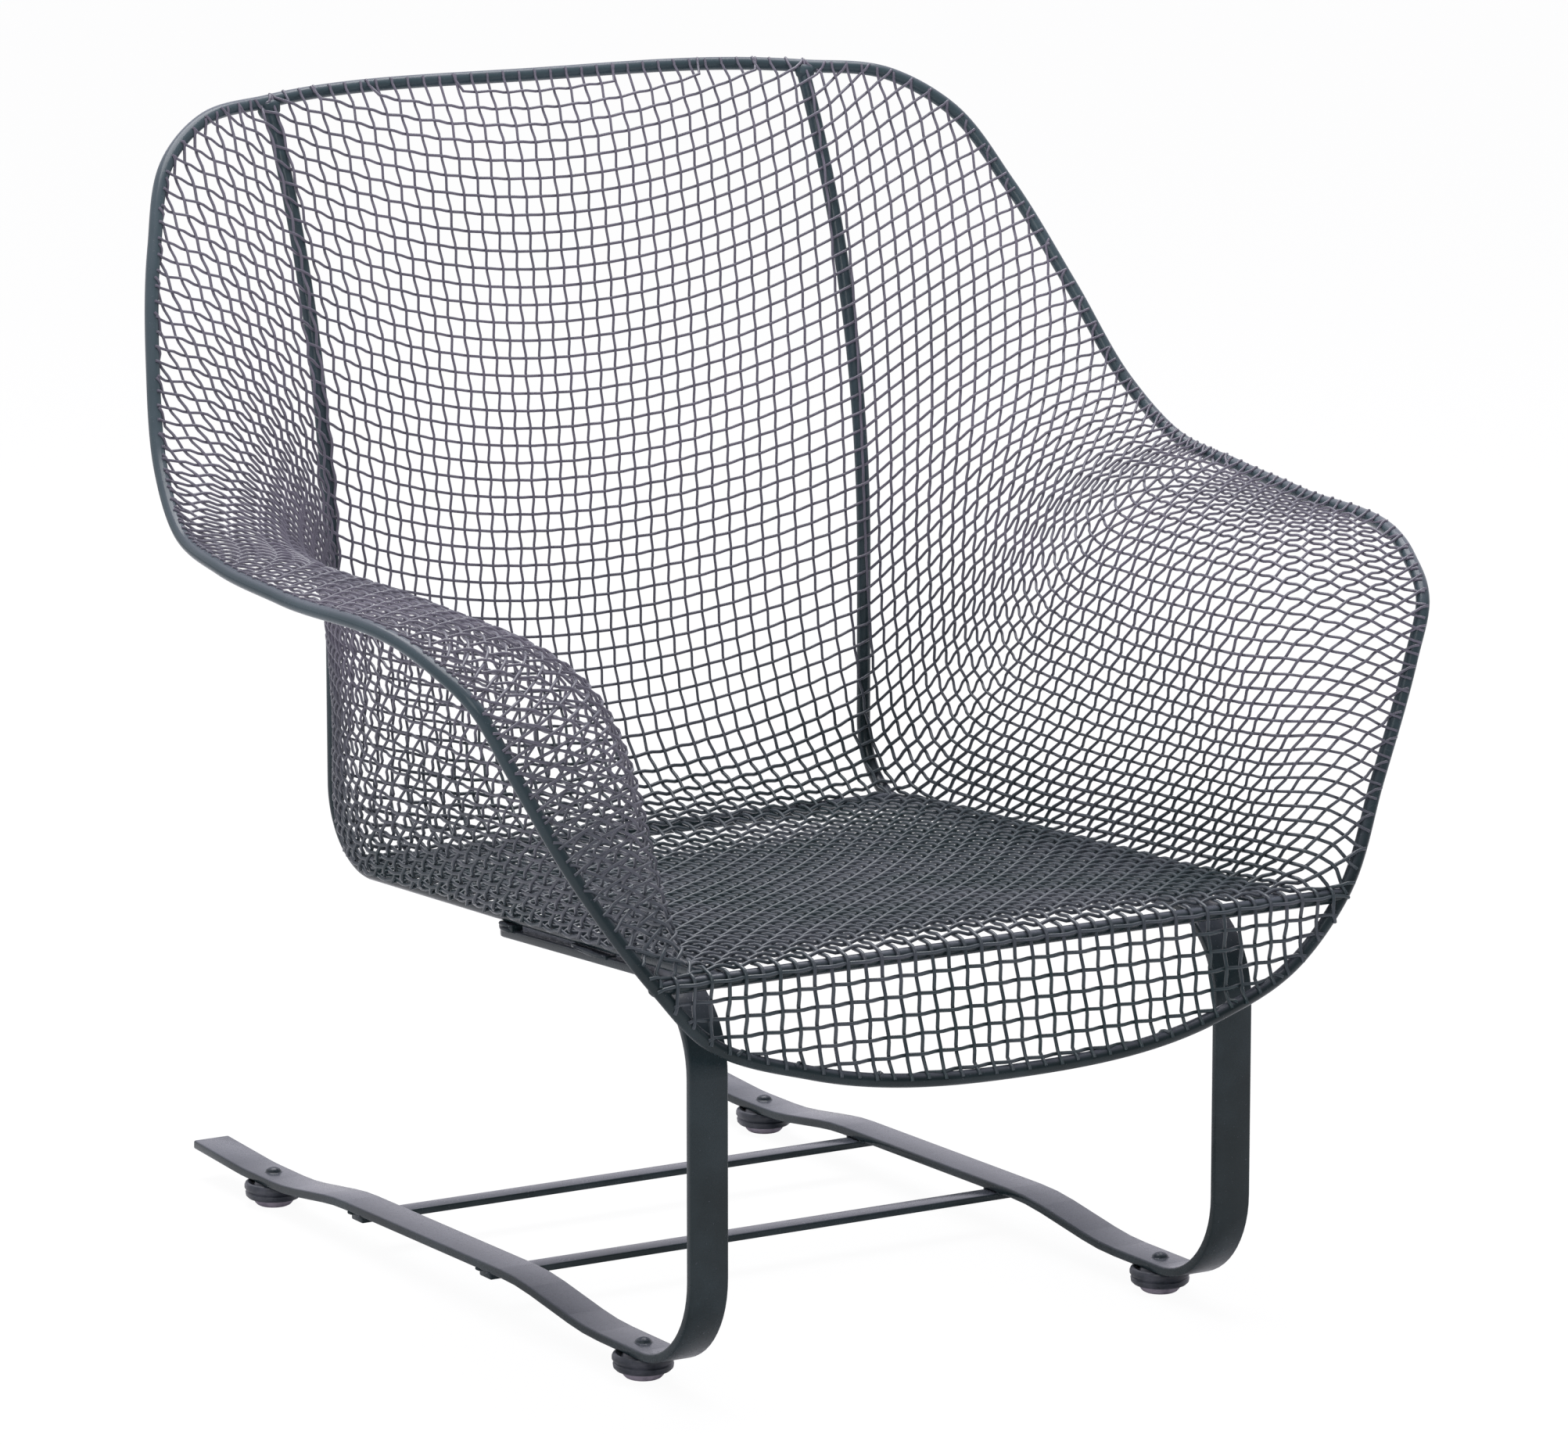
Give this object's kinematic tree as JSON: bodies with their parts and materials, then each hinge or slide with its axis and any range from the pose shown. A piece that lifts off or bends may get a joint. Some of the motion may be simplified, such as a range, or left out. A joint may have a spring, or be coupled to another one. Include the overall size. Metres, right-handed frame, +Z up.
{
  "type": "spring patio chair",
  "caption": "Woven wire bucket armchair on a rod frame, carried on bent flat spring bars that run along the floor, so that the seat rocks and bounces.",
  "frame": {"origin": "on the floor under the middle of the chair's box", "axes": "+Z up, the sitter faces -Y, +X across the seat"},
  "size_m": [0.8198, 0.7719, 0.8089],
  "materials": {
    "painted_steel": "semi-gloss enamel",
    "painted_wire": "semi-gloss enamel",
    "foot_collar": "semi-gloss enamel",
    "foot_pad": "worn matte"
  },
  "bodies": {
    "base": {"runner_right": "painted_steel", "runner_left": "painted_steel", "spring_bend_right": "painted_steel", "spring_bend_left": "painted_steel", "front_stretcher": "painted_steel", "rear_stretcher": "painted_steel", "foot_bolts": "painted_steel", "foot_collar_front_right": "foot_collar", "foot_collar_rear_right": "foot_collar", "foot_collar_front_left": "foot_collar", "foot_collar_rear_left": "foot_collar", "foot_pad_front_right": "foot_pad", "foot_pad_rear_right": "foot_pad", "foot_pad_front_left": "foot_pad", "foot_pad_rear_left": "foot_pad"},
    "seat": {"rim_rod_right": "painted_steel", "rim_rod_left": "painted_steel", "front_crossbar": "painted_steel", "back_rib_right": "painted_steel", "back_rib_left": "painted_steel", "rear_crossbar": "painted_steel", "leg_bar_right": "painted_steel", "leg_bar_left": "painted_steel", "bar_spacers_right": "painted_steel", "bar_spacers_left": "painted_steel", "weft_wires_back": "painted_wire", "weft_wires_seat": "painted_wire", "weft_wires_apron": "painted_wire", "warp_wires_middle": "painted_wire", "warp_wires_right": "painted_wire", "warp_wires_left": "painted_wire"}
  },
  "joints": [
    {"name": "spring_rock", "type": "hinge", "parent": "base", "child": "seat", "pos_m": [0, -0.255, 0.08568], "axis": [-1, 0, 0], "range_deg": [-3, 8], "stiffness_Nm_per_rad": 1500, "springref_deg": -0.69, "deforming": ["spring_bend_right", "spring_bend_left"]}
  ]
}
